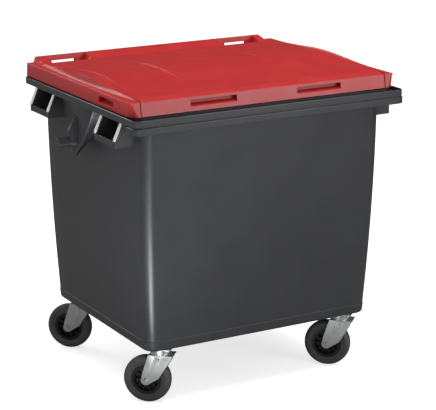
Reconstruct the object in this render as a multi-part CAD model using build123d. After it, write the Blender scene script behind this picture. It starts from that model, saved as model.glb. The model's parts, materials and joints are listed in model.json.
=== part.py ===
from build123d import *
import os

# Four-wheel bulk waste container with a flat hinged lid.
# Millimetres, +Z up, origin on the floor under the middle of the overall box.
# -Y is the front (comb lip), +Y the rear (hinges), -X and +X the two sides.

# --- driving dimensions: tub ---
WALL = 6.0                 # moulded wall of the tub
BASE_Z = 245.0             # underside of the tub
FLOOR = 8.0                # thickness of the tub's floor
RIM_Z = 1230.0             # top of the rim
SIDE_TOP = 552.6           # half-width of the tub just under the rim
END_TOP = 480.9            # half-depth of the tub just under the rim
TAPER_SPAN = 860.0         # height over which the wall taper is stated
TAPER_Z = 1120.0           # height where the taper starts
BASE_BAND = 43.0           # height of the thicker band round the base
RIM_SIDE = 625.5           # half-width of the rim
RIM_FRONT = -542.0         # front edge of the rim's upper band
RIM_REAR = 517.0           # rear edge of the rim
RIM_T = 6.0                # thickness of the rim flange and its skirt
SKIRT_Z = 1200.0           # lower edge of the rim skirt
LIP_PROUD = 6.0            # how far the comb lip stands in front of the upper band
LIP_LOW_Z = 1173.0         # lower edge of the comb lip
LIP_WRAP = 80.0            # how far the comb lip runs round the front corners
RIM_RADIUS = 30.0          # corner radius of the rim
NECK_Z = 1218.0            # where the tub's wall meets the neck of the rim
WALL_RADIUS = 50.0         # corner radius of the tub's wall
WALL_LEVELS = [430.0, 650.0, 880.0, 1080.0]  # heights between base and top that shape the wall
BAND_PROUD = 2.0           # how far the base band stands out from the wall
SEAM = 0.2                 # gap between the wall and the pieces that stand against it
RIB_PITCH = 100.0          # spacing of the ribs inside the comb lip
RIB_COUNT = 11

# --- handle boxes, brackets and lifting pins ---
BOX_Y = 314.0              # handle box centre, front and rear
BOX_HALF = 86.0            # half the spacing of the two cheeks of a handle box
CHEEK_T = 14.0             # thickness of a handle box cheek
BOX_TOP_X = 612.0          # outer edge of a cheek at its top
BOX_LOW_X = 645.0          # outer edge of a cheek at its bottom
BOX_LOW_Z = 1100.0         # underside of a handle box
BOX_LIP_Z = 1127.0         # top of the lip that the fingers hold
BOX_WALL = 8.0             # wall of the finger tray
STRIP_T = 4.0              # thickness of a wear strip
STRIP_W = 18.0             # its width, a little over the cheek it caps
PIN_Y = 42.0               # lifting pin axis
PIN_Z = 1037.0
PIN_R = 20.0
SHANK_R = 16.0             # thinner shank of a lifting pin, pressed into its bracket
PIN_FACE = 638.0           # face of the gusset over the pin, where the thick end starts
PIN_END = 690.0            # outer end of a lifting pin
BRACKET_X = 615.0          # outer face of the pin bracket
BRACKET_WALL = 7.0
GUSSET_HALF = 24.0         # half-width of the gusset that rises from the pin

# --- lid ---
LID_T = 5.0                # moulded wall of the lid
LID_BOTTOM = 1232.0
LID_TOP = 1289.0           # flat margin round the dome
LID_SIDE = 613.5
LID_FRONT = -484.0
LID_REAR = 509.0
BAR_SIDE = 563.0           # half-length of the rear bar
BAR_REAR = 544.0
BAR_FRONT = 527.0
BAR_TOP = 1305.0
BAR_LOW = 1250.0
DOME_SIDE = 577.0
HINGE_Y = 535.0
HINGE_Z = 1268.0
HINGE_R = 6.0
EAR_R = 13.0
RUNNING = 0.05             # radial clearance of every running fit
EAR_INNER = 566.0          # inner and outer face of the ear that holds a hinge pin
EAR_OUTER = 598.0
RIB_X = 246.0              # the two stiffening ribs on the dome
BUFFER_R = 8.0             # rubber pads between lid and rim
BUFFER_T = 1.7

# --- drain ---
DRAIN_Y = -300.0
DRAIN_R = 27.0
SEAL_R = 34.0
SEAL_T = 3.0

# --- castors ---
WHEEL_R = 100.0
WHEEL_W = 50.0
TRAIL = 55.0               # axle offset from the swivel axis
CASTOR_X = 439.0
CASTOR_FRONT_Y = -371.0
CASTOR_REAR_Y = 385.0
CASTOR_TURN = -43.85       # rest heading of every castor about its swivel axis
PLATE_Z = 241.0            # top of the castor plate
PLATE_T = 4.0
CROWN_Z = 208.0            # underside of the fork crown
FORK_T = 3.5
CHEEK_GAP = 32.0           # from the wheel's middle plane to the inside of a fork cheek
AXLE_R = 6.0
SLEEVE_R = 9.0
BALL_R = 5.5
BALL_COUNT = 12
BALL_PITCH_R = 30.0
RACE_R = 41.0              # dished race under the plate
RACE_LOW = 216.0
KING_R = 7.0               # kingpin
SCREW_R = 5.0
SCREW_HOLE_R = 5.5
SCREW_X = 40.0             # screw pattern of the plate
SCREW_Y = 30.0
HUB_R = 14.0               # outside of the steel bush in the wheel's hub
RIM_R = 64.0               # outside of the wheel centre, bore of the tyre
SPOKES = 10

CORNERS = {
    "front_left": (-CASTOR_X, CASTOR_FRONT_Y),
    "front_right": (CASTOR_X, CASTOR_FRONT_Y),
    "rear_left": (-CASTOR_X, CASTOR_REAR_Y),
    "rear_right": (CASTOR_X, CASTOR_REAR_Y),
}
SCREW_SPOTS = [(sx * SCREW_X, sy * SCREW_Y) for sx in (-1, 1) for sy in (-1, 1)]

os.makedirs("parts", exist_ok=True)


def save(shape, name):
    export_step(shape, f"parts/{name}.step")


def block(x0, x1, y0, y1, z0, z1):
    """Box between two corners."""
    return Pos((x0 + x1) / 2, (y0 + y1) / 2, (z0 + z1) / 2) * Box(x1 - x0, y1 - y0, z1 - z0)


def post(radius, length, x=0, y=0, z=0):
    """Upright cylinder standing on z."""
    return Pos(x, y, z + length / 2) * Cylinder(radius, length)


def bar_x(radius, x0, x1, y, z):
    """Cylinder along X."""
    return Pos((x0 + x1) / 2, y, z) * Rot(0, 90, 0) * Cylinder(radius, abs(x1 - x0))


def bar_y(radius, y0, y1, x, z):
    """Cylinder along Y."""
    return Pos(x, (y0 + y1) / 2, z) * Rot(90, 0, 0) * Cylinder(radius, abs(y1 - y0))


def prism_x(points, x0, x1):
    """Polygon in the YZ plane, drawn out from x0 to x1."""
    face = make_face(Polyline(*[(x0, y, z) for y, z in points], close=True))
    return extrude(face, amount=x1 - x0, dir=(1, 0, 0))


def prism_y(points, y0, y1):
    """Polygon in the XZ plane, drawn out from y0 to y1."""
    face = make_face(Polyline(*[(x, y0, z) for x, z in points], close=True))
    return extrude(face, amount=y1 - y0, dir=(0, 1, 0))


# ---------------------------------------------------------------- tub

def tub_half_sizes(z):
    """Half-width, front and rear distance of the gently bowed wall at height z."""
    t = (TAPER_Z - z) / TAPER_SPAN
    side = SIDE_TOP + 4.9 * t - 30.0 * t * t
    front = END_TOP - 26.8 * t - 16.0 * t * t
    rear = END_TOP - 31.5 * t - 5.5 * t * t
    return side, front, rear


def tub_section(z, inset):
    side, front, rear = tub_half_sizes(z)
    plane = Plane((0, (rear - front) / 2, z))
    return plane * RectangleRounded(2 * (side - inset), front + rear - 2 * inset, WALL_RADIUS - inset)


def tub_form(low, high, inset):
    """Solid form of the tub between two heights, drawn in by inset."""
    return loft([tub_section(z, inset) for z in [low] + WALL_LEVELS + [high]])


def rounded_slab(front, rear, side, radius, z0, z1):
    sketch = Plane((0, (front + rear) / 2, z0)) * RectangleRounded(2 * side, rear - front, radius)
    return extrude(sketch, amount=z1 - z0, dir=(0, 0, 1))


def make_tub():
    """Walls, floor, base band and the pads that the castors are screwed to."""
    body = tub_form(BASE_Z, NECK_Z, 0)
    body += loft([tub_section(z, -BAND_PROUD) for z in (BASE_Z, BASE_Z + BASE_BAND)])
    for x, y in CORNERS.values():
        body += at_castor(x, y, block(-62, 62, -52, 52, PLATE_Z, BASE_Z + 2))
    body -= tub_form(BASE_Z + FLOOR, NECK_Z + 1, WALL)
    body -= post(DRAIN_R, 2 * FLOOR, 0, DRAIN_Y, BASE_Z - 2)
    for x, y in CORNERS.values():
        for hx, hy in SCREW_SPOTS:
            body -= at_castor(x, y, post(SCREW_HOLE_R, 40, hx, hy, PLATE_Z - 5))
    return body


def neck_slab(inset, z0, z1):
    side, front, rear = tub_half_sizes(NECK_Z)
    return rounded_slab(inset - front, rear - inset, side - inset, WALL_RADIUS - inset, z0, z1)


def rim_flange():
    """Flange with a turned-down skirt, a neck on the wall and a drip channel at the front."""
    flange = rounded_slab(RIM_FRONT, RIM_REAR, RIM_SIDE, RIM_RADIUS, SKIRT_Z, RIM_Z)
    flange -= rounded_slab(RIM_FRONT + RIM_T, RIM_REAR - RIM_T, RIM_SIDE - RIM_T,
                           RIM_RADIUS - RIM_T, SKIRT_Z - 1, RIM_Z - RIM_T)
    flange += neck_slab(0, NECK_Z, RIM_Z - 1)
    channel_low = RIM_Z - 20
    channel_rear = -tub_half_sizes(NECK_Z)[1] - SEAM
    flange += block(-590, 590, RIM_FRONT + 1, channel_rear, channel_low, RIM_Z - 1)
    flange -= block(-584, 584, RIM_FRONT + RIM_T, channel_rear - RIM_T, channel_low + RIM_T, RIM_Z + 1)
    return flange - neck_slab(WALL, NECK_Z - 1, RIM_Z + 1)


def comb_lip():
    """Lower band in front of the skirt that the lifting comb takes hold of."""
    outer = rounded_slab(RIM_FRONT - LIP_PROUD, RIM_REAR, RIM_SIDE + 1, RIM_RADIUS + 3, LIP_LOW_Z, SKIRT_Z)
    inner = rounded_slab(RIM_FRONT - LIP_PROUD + 8, RIM_REAR - 8, RIM_SIDE - 7, RIM_RADIUS - 5, LIP_LOW_Z - 1,
                         SKIRT_Z - RIM_T)
    lip = outer - inner
    lip &= block(-700, 700, -700, RIM_FRONT + LIP_WRAP, LIP_LOW_Z - 1, SKIRT_Z + 1)
    lip -= rounded_slab(RIM_FRONT + RIM_T, RIM_REAR, RIM_SIDE - RIM_T, RIM_RADIUS - RIM_T,
                        SKIRT_Z - 8, SKIRT_Z + 1)
    for i in range(RIB_COUNT):
        x = (i - RIB_COUNT // 2) * RIB_PITCH
        lip += block(x - 2, x + 2, RIM_FRONT, -484, LIP_LOW_Z + 4, RIM_Z - 16)
    return lip


def handle_box(y_mid):
    """Two cheeks and a finger tray under the rim, on the +X side."""
    top = RIM_Z - RIM_T
    outline = [(540, top), (BOX_TOP_X, top), (BOX_TOP_X, SKIRT_Z), (BOX_LOW_X, BOX_LIP_Z),
               (BOX_LOW_X, BOX_LOW_Z), (576, BOX_LOW_Z), (540, 1125)]
    box = prism_y(outline, y_mid - BOX_HALF - CHEEK_T / 2, y_mid + BOX_HALF + CHEEK_T / 2)
    hollow = [(560, top - BOX_WALL), (700, top - BOX_WALL), (700, BOX_LIP_Z),
              (BOX_LOW_X - BOX_WALL, BOX_LIP_Z), (BOX_LOW_X - BOX_WALL, BOX_LOW_Z + BOX_WALL),
              (582, BOX_LOW_Z + BOX_WALL), (560, 1122)]
    inside = BOX_HALF - CHEEK_T / 2
    return box - prism_y(hollow, y_mid - inside, y_mid + inside)


def handle_boxes(x_sign):
    outside = tub_form(BASE_Z, RIM_Z, -SEAM)
    pair = [handle_box(y) - outside for y in (-BOX_Y, BOX_Y)]
    if x_sign < 0:
        pair = [mirror(box, about=Plane.YZ) for box in pair]
    return Compound(children=pair)


def bracket_form(inset):
    """Wedge with a point under the pin, and an underside that rises towards the wall."""
    half = [(150, 1192), (128, 1130), (68, 1034), (34, 1000), (12, 968)]
    left = [(PIN_Y - y + inset, z + inset) for y, z in half[:-1]] + [(PIN_Y - 12, 968 + 2 * inset)]
    right = [(2 * PIN_Y - y, z) for y, z in reversed(left)]
    top = RIM_Z - RIM_T
    outline = [(PIN_Y - 150 + inset, top)] + left + right + [(PIN_Y + 150 - inset, top)]
    side_view = [(540, top), (BRACKET_X - inset, top), (BRACKET_X - inset, 966), (540, 1075 + inset)]
    return prism_x(outline, 540, BRACKET_X - inset) & prism_y(side_view, PIN_Y - 160, PIN_Y + 160)


def pin_bracket(x_sign):
    """Hollow wedge against the wall that carries a lifting pin."""
    bracket = bracket_form(0) - bracket_form(BRACKET_WALL)
    gusset = [(600, 1140), (PIN_FACE, 1088), (PIN_FACE, PIN_Z), (600, PIN_Z)]
    bracket += prism_y(gusset, PIN_Y - GUSSET_HALF, PIN_Y + GUSSET_HALF)
    bracket += bar_x(GUSSET_HALF, 600, PIN_FACE, PIN_Y, PIN_Z)
    bracket -= tub_form(BASE_Z, RIM_Z, -SEAM)
    bracket -= bar_x(SHANK_R, 590, PIN_END, PIN_Y, PIN_Z)
    return bracket if x_sign > 0 else mirror(bracket, about=Plane.YZ)


def hinge_ear(x_sign):
    """Ear behind the lid, standing on the rim, that holds a hinge pin."""
    outline = [(495, 1201), (527, 1201), (527, HINGE_Z - 23), (HINGE_Y, HINGE_Z - EAR_R),
               (HINGE_Y, HINGE_Z), (HINGE_Y - EAR_R, HINGE_Z), (512.5, HINGE_Z - EAR_R),
               (512.5, 1229), (495, 1225)]
    ear = prism_x(outline, EAR_INNER, EAR_OUTER)
    ear += bar_x(EAR_R, EAR_INNER, EAR_OUTER, HINGE_Y, HINGE_Z)
    ear -= rounded_slab(RIM_FRONT, RIM_REAR + SEAM, RIM_SIDE + SEAM, RIM_RADIUS + SEAM, SKIRT_Z, RIM_Z)
    ear -= bar_x(HINGE_R, EAR_INNER - 6, EAR_OUTER + 12, HINGE_Y, HINGE_Z)
    return ear if x_sign > 0 else mirror(ear, about=Plane.YZ)


# ---------------------------------------------------------------- fittings on the tub

def wear_strips(x_sign):
    """Zinc strips on the sloping edges of the handle boxes of one side."""
    top = (BOX_TOP_X, SKIRT_Z)
    low = (BOX_LOW_X, BOX_LIP_Z)
    slope = Vector(low[0] - top[0], 0, low[1] - top[1])
    length = slope.length
    middle = Vector((top[0] + low[0]) / 2, 0, (top[1] + low[1]) / 2)
    plane = Plane(origin=middle, x_dir=slope, z_dir=Vector(-slope.Z, 0, slope.X))
    strip = extrude(plane * SlotOverall(length, STRIP_W), amount=STRIP_T)
    strips = []
    for y_mid in (-BOX_Y, BOX_Y):
        for y in (y_mid - BOX_HALF, y_mid + BOX_HALF):
            placed = Pos(0, y, 0) * strip
            strips.append(placed if x_sign > 0 else mirror(placed, about=Plane.YZ))
    return Compound(children=strips)


def lifting_pin(x_sign):
    head = bar_x(PIN_R, PIN_FACE, PIN_END, PIN_Y, PIN_Z)
    head = chamfer(head.edges().filter_by(GeomType.CIRCLE).sort_by(Axis.X)[-1], 3)
    pin = head + bar_x(SHANK_R, 592, PIN_FACE, PIN_Y, PIN_Z)
    return pin if x_sign > 0 else mirror(pin, about=Plane.YZ)


def hinge_pin(x_sign):
    pin = bar_x(HINGE_R, 524, 599, HINGE_Y, HINGE_Z) + bar_x(10, 598, 605, HINGE_Y, HINGE_Z)
    return pin if x_sign > 0 else mirror(pin, about=Plane.YZ)


def drain_plug():
    flange_low = BASE_Z - SEAL_T - 5
    plug = post(DRAIN_R - 0.1, 14, 0, DRAIN_Y, BASE_Z - SEAL_T)
    plug += post(SEAL_R + 2, 5, 0, DRAIN_Y, flange_low)
    plug += block(-5, 5, DRAIN_Y - 22, DRAIN_Y + 22, flange_low - 8, flange_low + 1)
    return plug


def drain_seal():
    low = BASE_Z - SEAL_T
    return post(SEAL_R, SEAL_T, 0, DRAIN_Y, low) - post(DRAIN_R, SEAL_T + 2, 0, DRAIN_Y, low - 1)


# ---------------------------------------------------------------- lid

def dome_profile(drop):
    """Side view of the arched top, in Y and Z, from the front margin to the rear valley."""
    crest = [(-477, 1289), (-425, 1297), (-280, 1302), (-190, 1309), (-100, 1314), (0, 1316),
             (100, 1314.5), (200, 1310), (290, 1303), (390, 1298), (450, 1289)]
    return [(y, z - drop) for y, z in crest]


def dome(drop, side):
    crest = dome_profile(drop)
    top = Spline(*[(-side, y, z) for y, z in crest])
    first, last = crest[0], crest[-1]
    under = Polyline((-side, last[0], last[1]), (-side, last[0], 1250), (-side, first[0], 1250),
                     (-side, first[0], first[1]))
    return extrude(make_face([top, under]), amount=2 * side, dir=(1, 0, 0))


def lid_form(inset, bottom):
    """Solid envelope of the lid, drawn in by inset everywhere but underneath."""
    tray = block(-LID_SIDE + inset, LID_SIDE - inset, LID_FRONT + inset, LID_REAR - inset,
                 bottom, LID_TOP - inset)
    tray = fillet(tray.edges().filter_by(Axis.Z).group_by(Axis.Y)[0], 26 - inset)
    ridge = prism_x([(440, 1255), (440, LID_TOP - inset), (BAR_FRONT - 2, BAR_TOP - inset),
                     (BAR_REAR - inset, BAR_TOP - inset), (BAR_REAR - inset, BAR_LOW),
                     (500, BAR_LOW)], -BAR_SIDE + inset, BAR_SIDE - inset)
    return tray + dome(inset, DOME_SIDE - inset) + ridge


def grip_pockets():
    """Front and side hand slots, as (outer wall block, hollow) pairs."""
    pairs = []
    for s in (-1, 1):
        x0, x1 = sorted((s * 140, s * 350))
        wall_box = block(x0 - 4, x1 + 4, LID_FRONT + 2, LID_FRONT + 30, 1246, LID_TOP - 2)
        pairs.append((wall_box, block(x0, x1, LID_FRONT - 5, LID_FRONT + 26, 1250, 1276)))
        u0, u1 = sorted((s * (LID_SIDE - 30), s * (LID_SIDE - 2)))
        wall_box = block(u0, u1, -334, -196, 1241, LID_TOP - 2)
        v0, v1 = sorted((s * (LID_SIDE - 26), s * (LID_SIDE + 5)))
        pairs.append((wall_box, block(v0, v1, -330, -200, 1245, 1272)))
    return pairs


def rear_pockets():
    """Hand holes in front of the rear bar: sloping floor and a slot out to the rear."""
    pairs = []
    for s in (-1, 1):
        x0, x1 = sorted((s * 340, s * 515))
        wall_box = prism_x([(440, 1281), (440, 1288), (530, 1300), (530, 1254)], x0 - 5, x1 + 5)
        hollow = prism_x([(449, 1340), (449, 1287), (BAR_FRONT, 1262), (BAR_FRONT, 1340)], x0, x1)
        w0, w1 = sorted((s * 375, s * 488))
        slot = block(w0, w1, BAR_FRONT - 2, BAR_REAR + 5, 1262, 1283)
        pairs.append((wall_box, hollow + slot))
    return pairs


def make_lid():
    lid = lid_form(0, LID_BOTTOM) - lid_form(LID_T, LID_BOTTOM - 5)
    lid += block(-BAR_SIDE, BAR_SIDE, BAR_FRONT, BAR_REAR, BAR_LOW, BAR_TOP)
    for wall_box, hollow in grip_pockets() + rear_pockets():
        lid += wall_box
        lid -= hollow
    for s in (-1, 1):
        lid += prism_x(rib_profile(), s * RIB_X - 5, s * RIB_X + 5)
        lid -= bar_x(HINGE_R + RUNNING, s * 520, s * 570, HINGE_Y, HINGE_Z)
    return lid


def rib_profile():
    """Side view of a stiffening rib that stands just proud of the arched top."""
    crest = [(y, z + 2.5) for y, z in dome_profile(0)[1:9]]
    return crest + [(y, z - 4) for y, z in reversed(dome_profile(0)[1:9])]


def lid_buffers():
    """Rubber pads under the lid's front and side edges that land on the rim."""
    spots = [(-480, LID_FRONT + 12), (480, LID_FRONT + 12), (-LID_SIDE + 12, 300), (LID_SIDE - 12, 300)]
    pad = Cylinder(BUFFER_R, BUFFER_T)
    return Compound(children=[Pos(x, y, LID_BOTTOM - BUFFER_T / 2) * pad for x, y in spots])


# ---------------------------------------------------------------- castors
# A castor is drawn about its swivel axis, trailing towards -X with its axle along Y.

def at_castor(x, y, shape):
    """Turn a shape drawn about the swivel axis to the rest heading and carry it to its corner."""
    return Pos(x, y, 0) * Rot(0, 0, CASTOR_TURN) * shape


def castor_plate():
    """Top plate with the dished upper race under it."""
    plate = block(-52, 52, -42, 42, PLATE_Z - PLATE_T, PLATE_Z)
    plate = fillet(plate.edges().filter_by(Axis.Z), 8)
    plate += post(RACE_R, PLATE_Z - PLATE_T - RACE_LOW, 0, 0, RACE_LOW)
    plate -= post(RACE_R - 3, 16, 0, 0, RACE_LOW - 1)
    for hx, hy in SCREW_SPOTS:
        plate -= post(SCREW_HOLE_R, 10, hx, hy, PLATE_Z - 6)
    return plate - post(KING_R + RUNNING, 40, 0, 0, RACE_LOW - 6)


def castor_balls():
    ring = []
    for place in PolarLocations(BALL_PITCH_R, BALL_COUNT):
        ring.append(Pos(0, 0, 225) * place * Sphere(BALL_R))
    return Compound(children=ring)


def castor_bolts():
    """Four screws from below, through the plate and the tub's floor."""
    under = PLATE_Z - PLATE_T
    bolts = []
    for hx, hy in SCREW_SPOTS:
        head = extrude(Plane((hx, hy, under - 6)) * RegularPolygon(8.5, 6), amount=6)
        bolts.append(head + post(SCREW_R, BASE_Z + FLOOR - under, hx, hy, under - 1))
    return Compound(children=bolts)


def fork_cheek():
    """One pressed cheek with two ribs, from the crown down to the axle."""
    outline = [(-42, 212), (58, 212), (47, 188), (1, 113), (-43, 84), (-73, 107), (-69, 129)]
    cheek = prism_y(outline, CHEEK_GAP, CHEEK_GAP + FORK_T)
    cheek += bar_y(20, CHEEK_GAP, CHEEK_GAP + FORK_T, -TRAIL, WHEEL_R)
    for x in (-12, 16):
        groove = prism_y([(x - 4, 205), (x + 4, 205), (x - 22, 128), (x - 28, 128)],
                         CHEEK_GAP + FORK_T - 1.5, CHEEK_GAP + FORK_T + 1)
        cheek -= groove
    cheek -= bar_y(3, CHEEK_GAP - 1, CHEEK_GAP + FORK_T + 1, 2, 196)
    return cheek - bar_y(AXLE_R, CHEEK_GAP - 1, CHEEK_GAP + FORK_T + 1, -TRAIL, WHEEL_R)


def castor_fork():
    cheek = fork_cheek()
    fork = cheek + mirror(cheek, about=Plane.XZ)
    half = CHEEK_GAP + FORK_T
    fork += block(-42, 58, -half, half, CROWN_Z, CROWN_Z + 4)
    fork += post(RACE_R - 4, 8, 0, 0, CROWN_Z + 3)
    return fork - post(KING_R, 30, 0, 0, CROWN_Z - 5)


def castor_kingpin():
    """Rivet through the crown and the plate, fixed in the fork."""
    pin = post(KING_R, 33, 0, 0, CROWN_Z - 1)
    return pin + post(13, 5, 0, 0, CROWN_Z - 5)


def axle_bolt():
    half = CHEEK_GAP + FORK_T
    bolt = bar_y(AXLE_R, -half - 12, half, -TRAIL, WHEEL_R)
    hex_head = Pos(-TRAIL, half, WHEEL_R) * Rot(-90, 0, 0) * extrude(RegularPolygon(10.5, 6), amount=7)
    nut = Pos(-TRAIL, -half, WHEEL_R) * Rot(90, 0, 0) * extrude(RegularPolygon(10.5, 6), amount=9)
    nut -= bar_y(AXLE_R, -half - 12, half, -TRAIL, WHEEL_R)
    return Compound(children=[bolt + hex_head, nut])


def axle_sleeve():
    tube = bar_y(SLEEVE_R, -CHEEK_GAP, CHEEK_GAP, -TRAIL, WHEEL_R)
    return tube - bar_y(AXLE_R, -CHEEK_GAP - 1, CHEEK_GAP + 1, -TRAIL, WHEEL_R)


def wheel_bearing():
    ring = bar_y(HUB_R, -29, 29, -TRAIL, WHEEL_R)
    return ring - bar_y(SLEEVE_R + RUNNING, -30, 30, -TRAIL, WHEEL_R)


def wheel_rim():
    """Moulded centre with a hub, a web, spokes on each side and an outer band."""
    band = bar_y(RIM_R, -22, 22, -TRAIL, WHEEL_R) - bar_y(RIM_R - 12, -23, 23, -TRAIL, WHEEL_R)
    hub = bar_y(20, -28, 28, -TRAIL, WHEEL_R)
    web = bar_y(53, -3, 3, -TRAIL, WHEEL_R)
    rim = band + hub + web
    for i in range(SPOKES):
        turn = Pos(-TRAIL, 0, WHEEL_R) * Rot(0, 360 / SPOKES * i, 0)
        rim += turn * block(16, RIM_R - 11, -19, 19, -2, 2)
    return rim - bar_y(HUB_R, -30, 30, -TRAIL, WHEEL_R)


def wheel_tyre():
    """Solid rubber tyre with a stepped sidewall and rounded tread edges."""
    tyre = bar_y(WHEEL_R, -WHEEL_W / 2, WHEEL_W / 2, -TRAIL, WHEEL_R)
    tyre = fillet(tyre.edges().filter_by(GeomType.CIRCLE), 13)
    for s in (-1, 1):
        y0, y1 = sorted((s * (WHEEL_W / 2 - 2), s * (WHEEL_W / 2 + 1)))
        tyre -= bar_y(73, y0, y1, -TRAIL, WHEEL_R)
    return tyre - bar_y(RIM_R, -30, 30, -TRAIL, WHEEL_R)


CASTOR_PIECES = {
    "plate": castor_plate,
    "balls": castor_balls,
    "bolts": castor_bolts,
    "fork": castor_fork,
    "kingpin": castor_kingpin,
    "axle_bolt": axle_bolt,
    "axle_sleeve": axle_sleeve,
    "bearing": wheel_bearing,
    "rim": wheel_rim,
    "tyre": wheel_tyre,
}

save(make_tub(), "tub")
save(rim_flange() + comb_lip(), "tub_rim")
save(make_lid(), "lid_shell")
save(lid_buffers(), "lid_buffers")
save(drain_plug(), "drain_plug")
save(drain_seal(), "drain_seal")
SIDE_PIECES = {
    "handle_boxes": handle_boxes,
    "pin_bracket": pin_bracket,
    "hinge_ear": hinge_ear,
    "wear_strips": wear_strips,
    "lifting_pin": lifting_pin,
    "hinge_pin": hinge_pin,
}
for side_name, side_sign in (("left", -1), ("right", 1)):
    for piece_name, build_piece in SIDE_PIECES.items():
        save(build_piece(side_sign), f"{piece_name}_{side_name}")
for piece_name, build_piece in CASTOR_PIECES.items():
    castor_piece = build_piece()
    for corner, (corner_x, corner_y) in CORNERS.items():
        save(at_castor(corner_x, corner_y, castor_piece), f"{piece_name}_{corner}")
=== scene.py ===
# %% [markdown]
# # A four-wheel waste container
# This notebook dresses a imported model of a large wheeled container: a dark grey moulded
# tub, a flat red lid, zinc fittings and four swivel castors. The frame brings in every
# CAD piece in metres, with its joints, and each new mesh here stands where the frame says.

# %% Load the frame
import json
import math

import bmesh
import bpy
from mathutils import Matrix, Vector


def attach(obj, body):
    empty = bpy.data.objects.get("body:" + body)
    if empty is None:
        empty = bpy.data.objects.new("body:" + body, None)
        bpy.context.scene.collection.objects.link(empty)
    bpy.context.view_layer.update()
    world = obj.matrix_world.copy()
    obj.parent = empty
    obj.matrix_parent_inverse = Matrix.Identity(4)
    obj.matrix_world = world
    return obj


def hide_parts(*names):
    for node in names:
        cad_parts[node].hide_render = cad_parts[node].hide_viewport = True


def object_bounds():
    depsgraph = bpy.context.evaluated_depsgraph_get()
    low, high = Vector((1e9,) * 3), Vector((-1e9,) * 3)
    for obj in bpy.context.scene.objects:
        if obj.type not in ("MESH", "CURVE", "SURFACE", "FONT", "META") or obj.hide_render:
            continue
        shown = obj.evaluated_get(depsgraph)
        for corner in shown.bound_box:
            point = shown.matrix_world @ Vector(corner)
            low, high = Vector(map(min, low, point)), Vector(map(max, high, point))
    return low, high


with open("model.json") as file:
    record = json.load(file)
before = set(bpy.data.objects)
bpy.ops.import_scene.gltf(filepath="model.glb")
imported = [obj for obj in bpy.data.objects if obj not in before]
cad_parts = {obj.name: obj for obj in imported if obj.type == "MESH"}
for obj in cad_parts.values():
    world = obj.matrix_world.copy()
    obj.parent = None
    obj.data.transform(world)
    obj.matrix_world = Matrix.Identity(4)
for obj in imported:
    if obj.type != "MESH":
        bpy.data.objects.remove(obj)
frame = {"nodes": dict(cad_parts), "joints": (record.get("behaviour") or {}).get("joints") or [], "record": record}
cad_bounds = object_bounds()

record = frame["record"]
body_of_node = {n: b for b, nodes in record["behaviour"]["bodies"].items() for n in nodes}
slot_of_node = {s["node"]: s["material_slot"] for s in record["subparts"]}

# %% [markdown]
# ## Camera
# The camera stands to the left of the front and a little above the lid, far away with a
# long lens, so that upright edges stay nearly parallel. Its place is a plain position
# with a heading and a downward tilt, and no depth of field.

# %% Camera
LENS_MM = 144.5
CAMERA_PLACE = Vector((-3.5466, -6.3495, 2.6824))
HEADING, TILT, ROLL = math.radians(-29.478), math.radians(-15.316), math.radians(-0.146)


def add_camera():
    lens = bpy.data.cameras.new("camera")
    lens.lens = LENS_MM
    lens.sensor_width = 36.0
    lens.clip_end = 200.0
    camera = bpy.data.objects.new("camera", lens)
    turn = Matrix.Rotation(HEADING, 4, "Z") @ Matrix.Rotation(math.pi / 2 + TILT, 4, "X")
    camera.matrix_world = Matrix.Translation(CAMERA_PLACE) @ turn @ Matrix.Rotation(ROLL, 4, "Z")
    bpy.context.collection.objects.link(camera)
    bpy.context.scene.camera = camera
    return camera


camera = add_camera()
print("camera looks along", camera.matrix_world.to_3x3() @ Vector((0, 0, -1)))

# %% [markdown]
# ## Light
# A dark satin plastic shows its shape by what it mirrors, more than by its own colour.
# One broad soft box hangs overhead for the lid and one stands at the front right for the
# faces that look forwards. A long strip lies low in front of the left corner, where it
# draws a bright line down the rounded edge. The world gives an even white fill, but
# mirror rays find it dim, so that the plastics keep their contrast.

# %% Lights
def add_area(name, place, target, size, power, seen=True):
    data = bpy.data.lights.new(name, "AREA")
    data.shape = "RECTANGLE"
    data.size, data.size_y = size
    data.energy = power
    lamp = bpy.data.objects.new(name, data)
    aim = (Vector(target) - Vector(place)).to_track_quat("-Z", "Y")
    lamp.matrix_world = Matrix.Translation(Vector(place)) @ aim.to_matrix().to_4x4()
    lamp.visible_camera = False
    lamp.visible_glossy = seen
    bpy.context.collection.objects.link(lamp)
    return lamp


add_area("overhead_box", (0.3, -0.3, 4.2), (0, 0, 1.2), (3.0, 3.0), 80, seen=False)
add_area("front_right_box", (2.5, -5.2, 1.75), (0, -0.4, 1.0), (3.2, 1.7), 100)
add_area("edge_box", (1.9, -1.6, 4.6), (0, -0.5, 1.2), (1.4, 1.4), 30)
add_area("rear_box", (-1.6, 4.4, 3.9), (-0.4, 0, 1.3), (2.2, 1.0), 42)
add_area("rear_left_box", (-3.1, 4.2, 1.6), (-0.6, 0, 1.1), (1.2, 1.2), 11)
add_area("left_box", (-5.0, 0.5, 1.4), (0, 0, 0.8), (2.0, 2.0), 12, seen=False)
add_area("corner_strip", (-1.95, -2.27, 0.03), (-1.95, -2.27, 1.0), (0.35, 3.0), 22)
add_area("corner_low", (-1.10, -1.25, 0.03), (-1.10, -1.25, 1.0), (0.30, 0.50), 24)


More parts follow.
